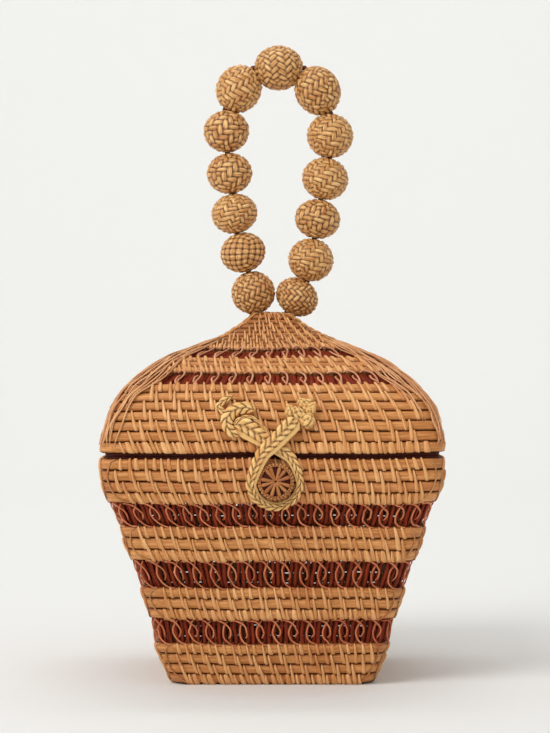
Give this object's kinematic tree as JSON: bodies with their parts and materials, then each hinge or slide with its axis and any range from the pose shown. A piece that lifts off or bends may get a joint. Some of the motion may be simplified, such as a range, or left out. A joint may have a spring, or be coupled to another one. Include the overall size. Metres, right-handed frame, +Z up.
{
  "type": "straw basket bag",
  "caption": "Square lidded basket bag woven in rattan, flared body with openwork rows, domed lid, carrying loop of wound beads and a looped cord closure.",
  "frame": {"origin": "middle of the flat face that the basket stands on", "axes": "+Z up to the carrying loop, -Y to the front with the button, +X to the right seen from the front"},
  "size_m": [0.18, 0.194, 0.3493],
  "materials": {
    "rattan_weave": "satin, canes wrapped in split rattan",
    "rattan_openwork": "satin, thin reddish strands and stakes",
    "rattan_strand": "satin, bare split strands",
    "rattan_bead": "satin, plaited strips over a ball",
    "braided_cord": "matt, stiff plaited fibre",
    "handle_cord": "matt twisted cord"
  },
  "bodies": {
    "basket": {"base_panel": "rattan_weave", "body_band_1": "rattan_weave", "body_band_2": "rattan_weave", "body_band_3": "rattan_weave", "body_band_4": "rattan_weave", "body_openwork_1_front": "rattan_openwork", "body_openwork_1_right": "rattan_openwork", "body_openwork_1_back": "rattan_openwork", "body_openwork_1_left": "rattan_openwork", "body_openwork_2_front": "rattan_openwork", "body_openwork_2_right": "rattan_openwork", "body_openwork_2_back": "rattan_openwork", "body_openwork_2_left": "rattan_openwork", "body_openwork_3_front": "rattan_openwork", "body_openwork_3_right": "rattan_openwork", "body_openwork_3_back": "rattan_openwork", "body_openwork_3_left": "rattan_openwork", "closure_button": "rattan_weave", "hinge_pin": "rattan_strand", "body_hinge_left": "rattan_weave", "body_hinge_right": "rattan_weave"},
    "lid": {"lid_band_lower": "rattan_weave", "lid_band_upper": "rattan_weave", "lid_crown": "rattan_weave", "lid_openwork_lower_front": "rattan_openwork", "lid_openwork_lower_right": "rattan_openwork", "lid_openwork_lower_back": "rattan_openwork", "lid_openwork_lower_left": "rattan_openwork", "lid_openwork_upper_front": "rattan_openwork", "lid_openwork_upper_right": "rattan_openwork", "lid_openwork_upper_back": "rattan_openwork", "lid_openwork_upper_left": "rattan_openwork", "hip_binding_1": "rattan_strand", "hip_binding_2": "rattan_strand", "hip_binding_3": "rattan_strand", "hip_binding_4": "rattan_strand", "lid_hinge_left": "rattan_weave", "lid_hinge_right": "rattan_weave", "closure_loop": "braided_cord", "closure_knot": "braided_cord", "handle_cord": "handle_cord", "bead_01": "rattan_bead", "bead_02": "rattan_bead", "bead_03": "rattan_bead", "bead_04": "rattan_bead", "bead_05": "rattan_bead", "bead_06": "rattan_bead", "bead_07": "rattan_bead", "bead_08": "rattan_bead", "bead_09": "rattan_bead", "bead_10": "rattan_bead", "bead_11": "rattan_bead", "bead_12": "rattan_bead", "bead_13": "rattan_bead"}
  },
  "joints": [
    {"name": "lid_hinge", "type": "hinge", "parent": "basket", "child": "lid", "pos_m": [0, 0.0939, 0.12415], "axis": [-1, 0, 0], "range_deg": [0, 105], "deforming": ["closure_loop"]}
  ]
}
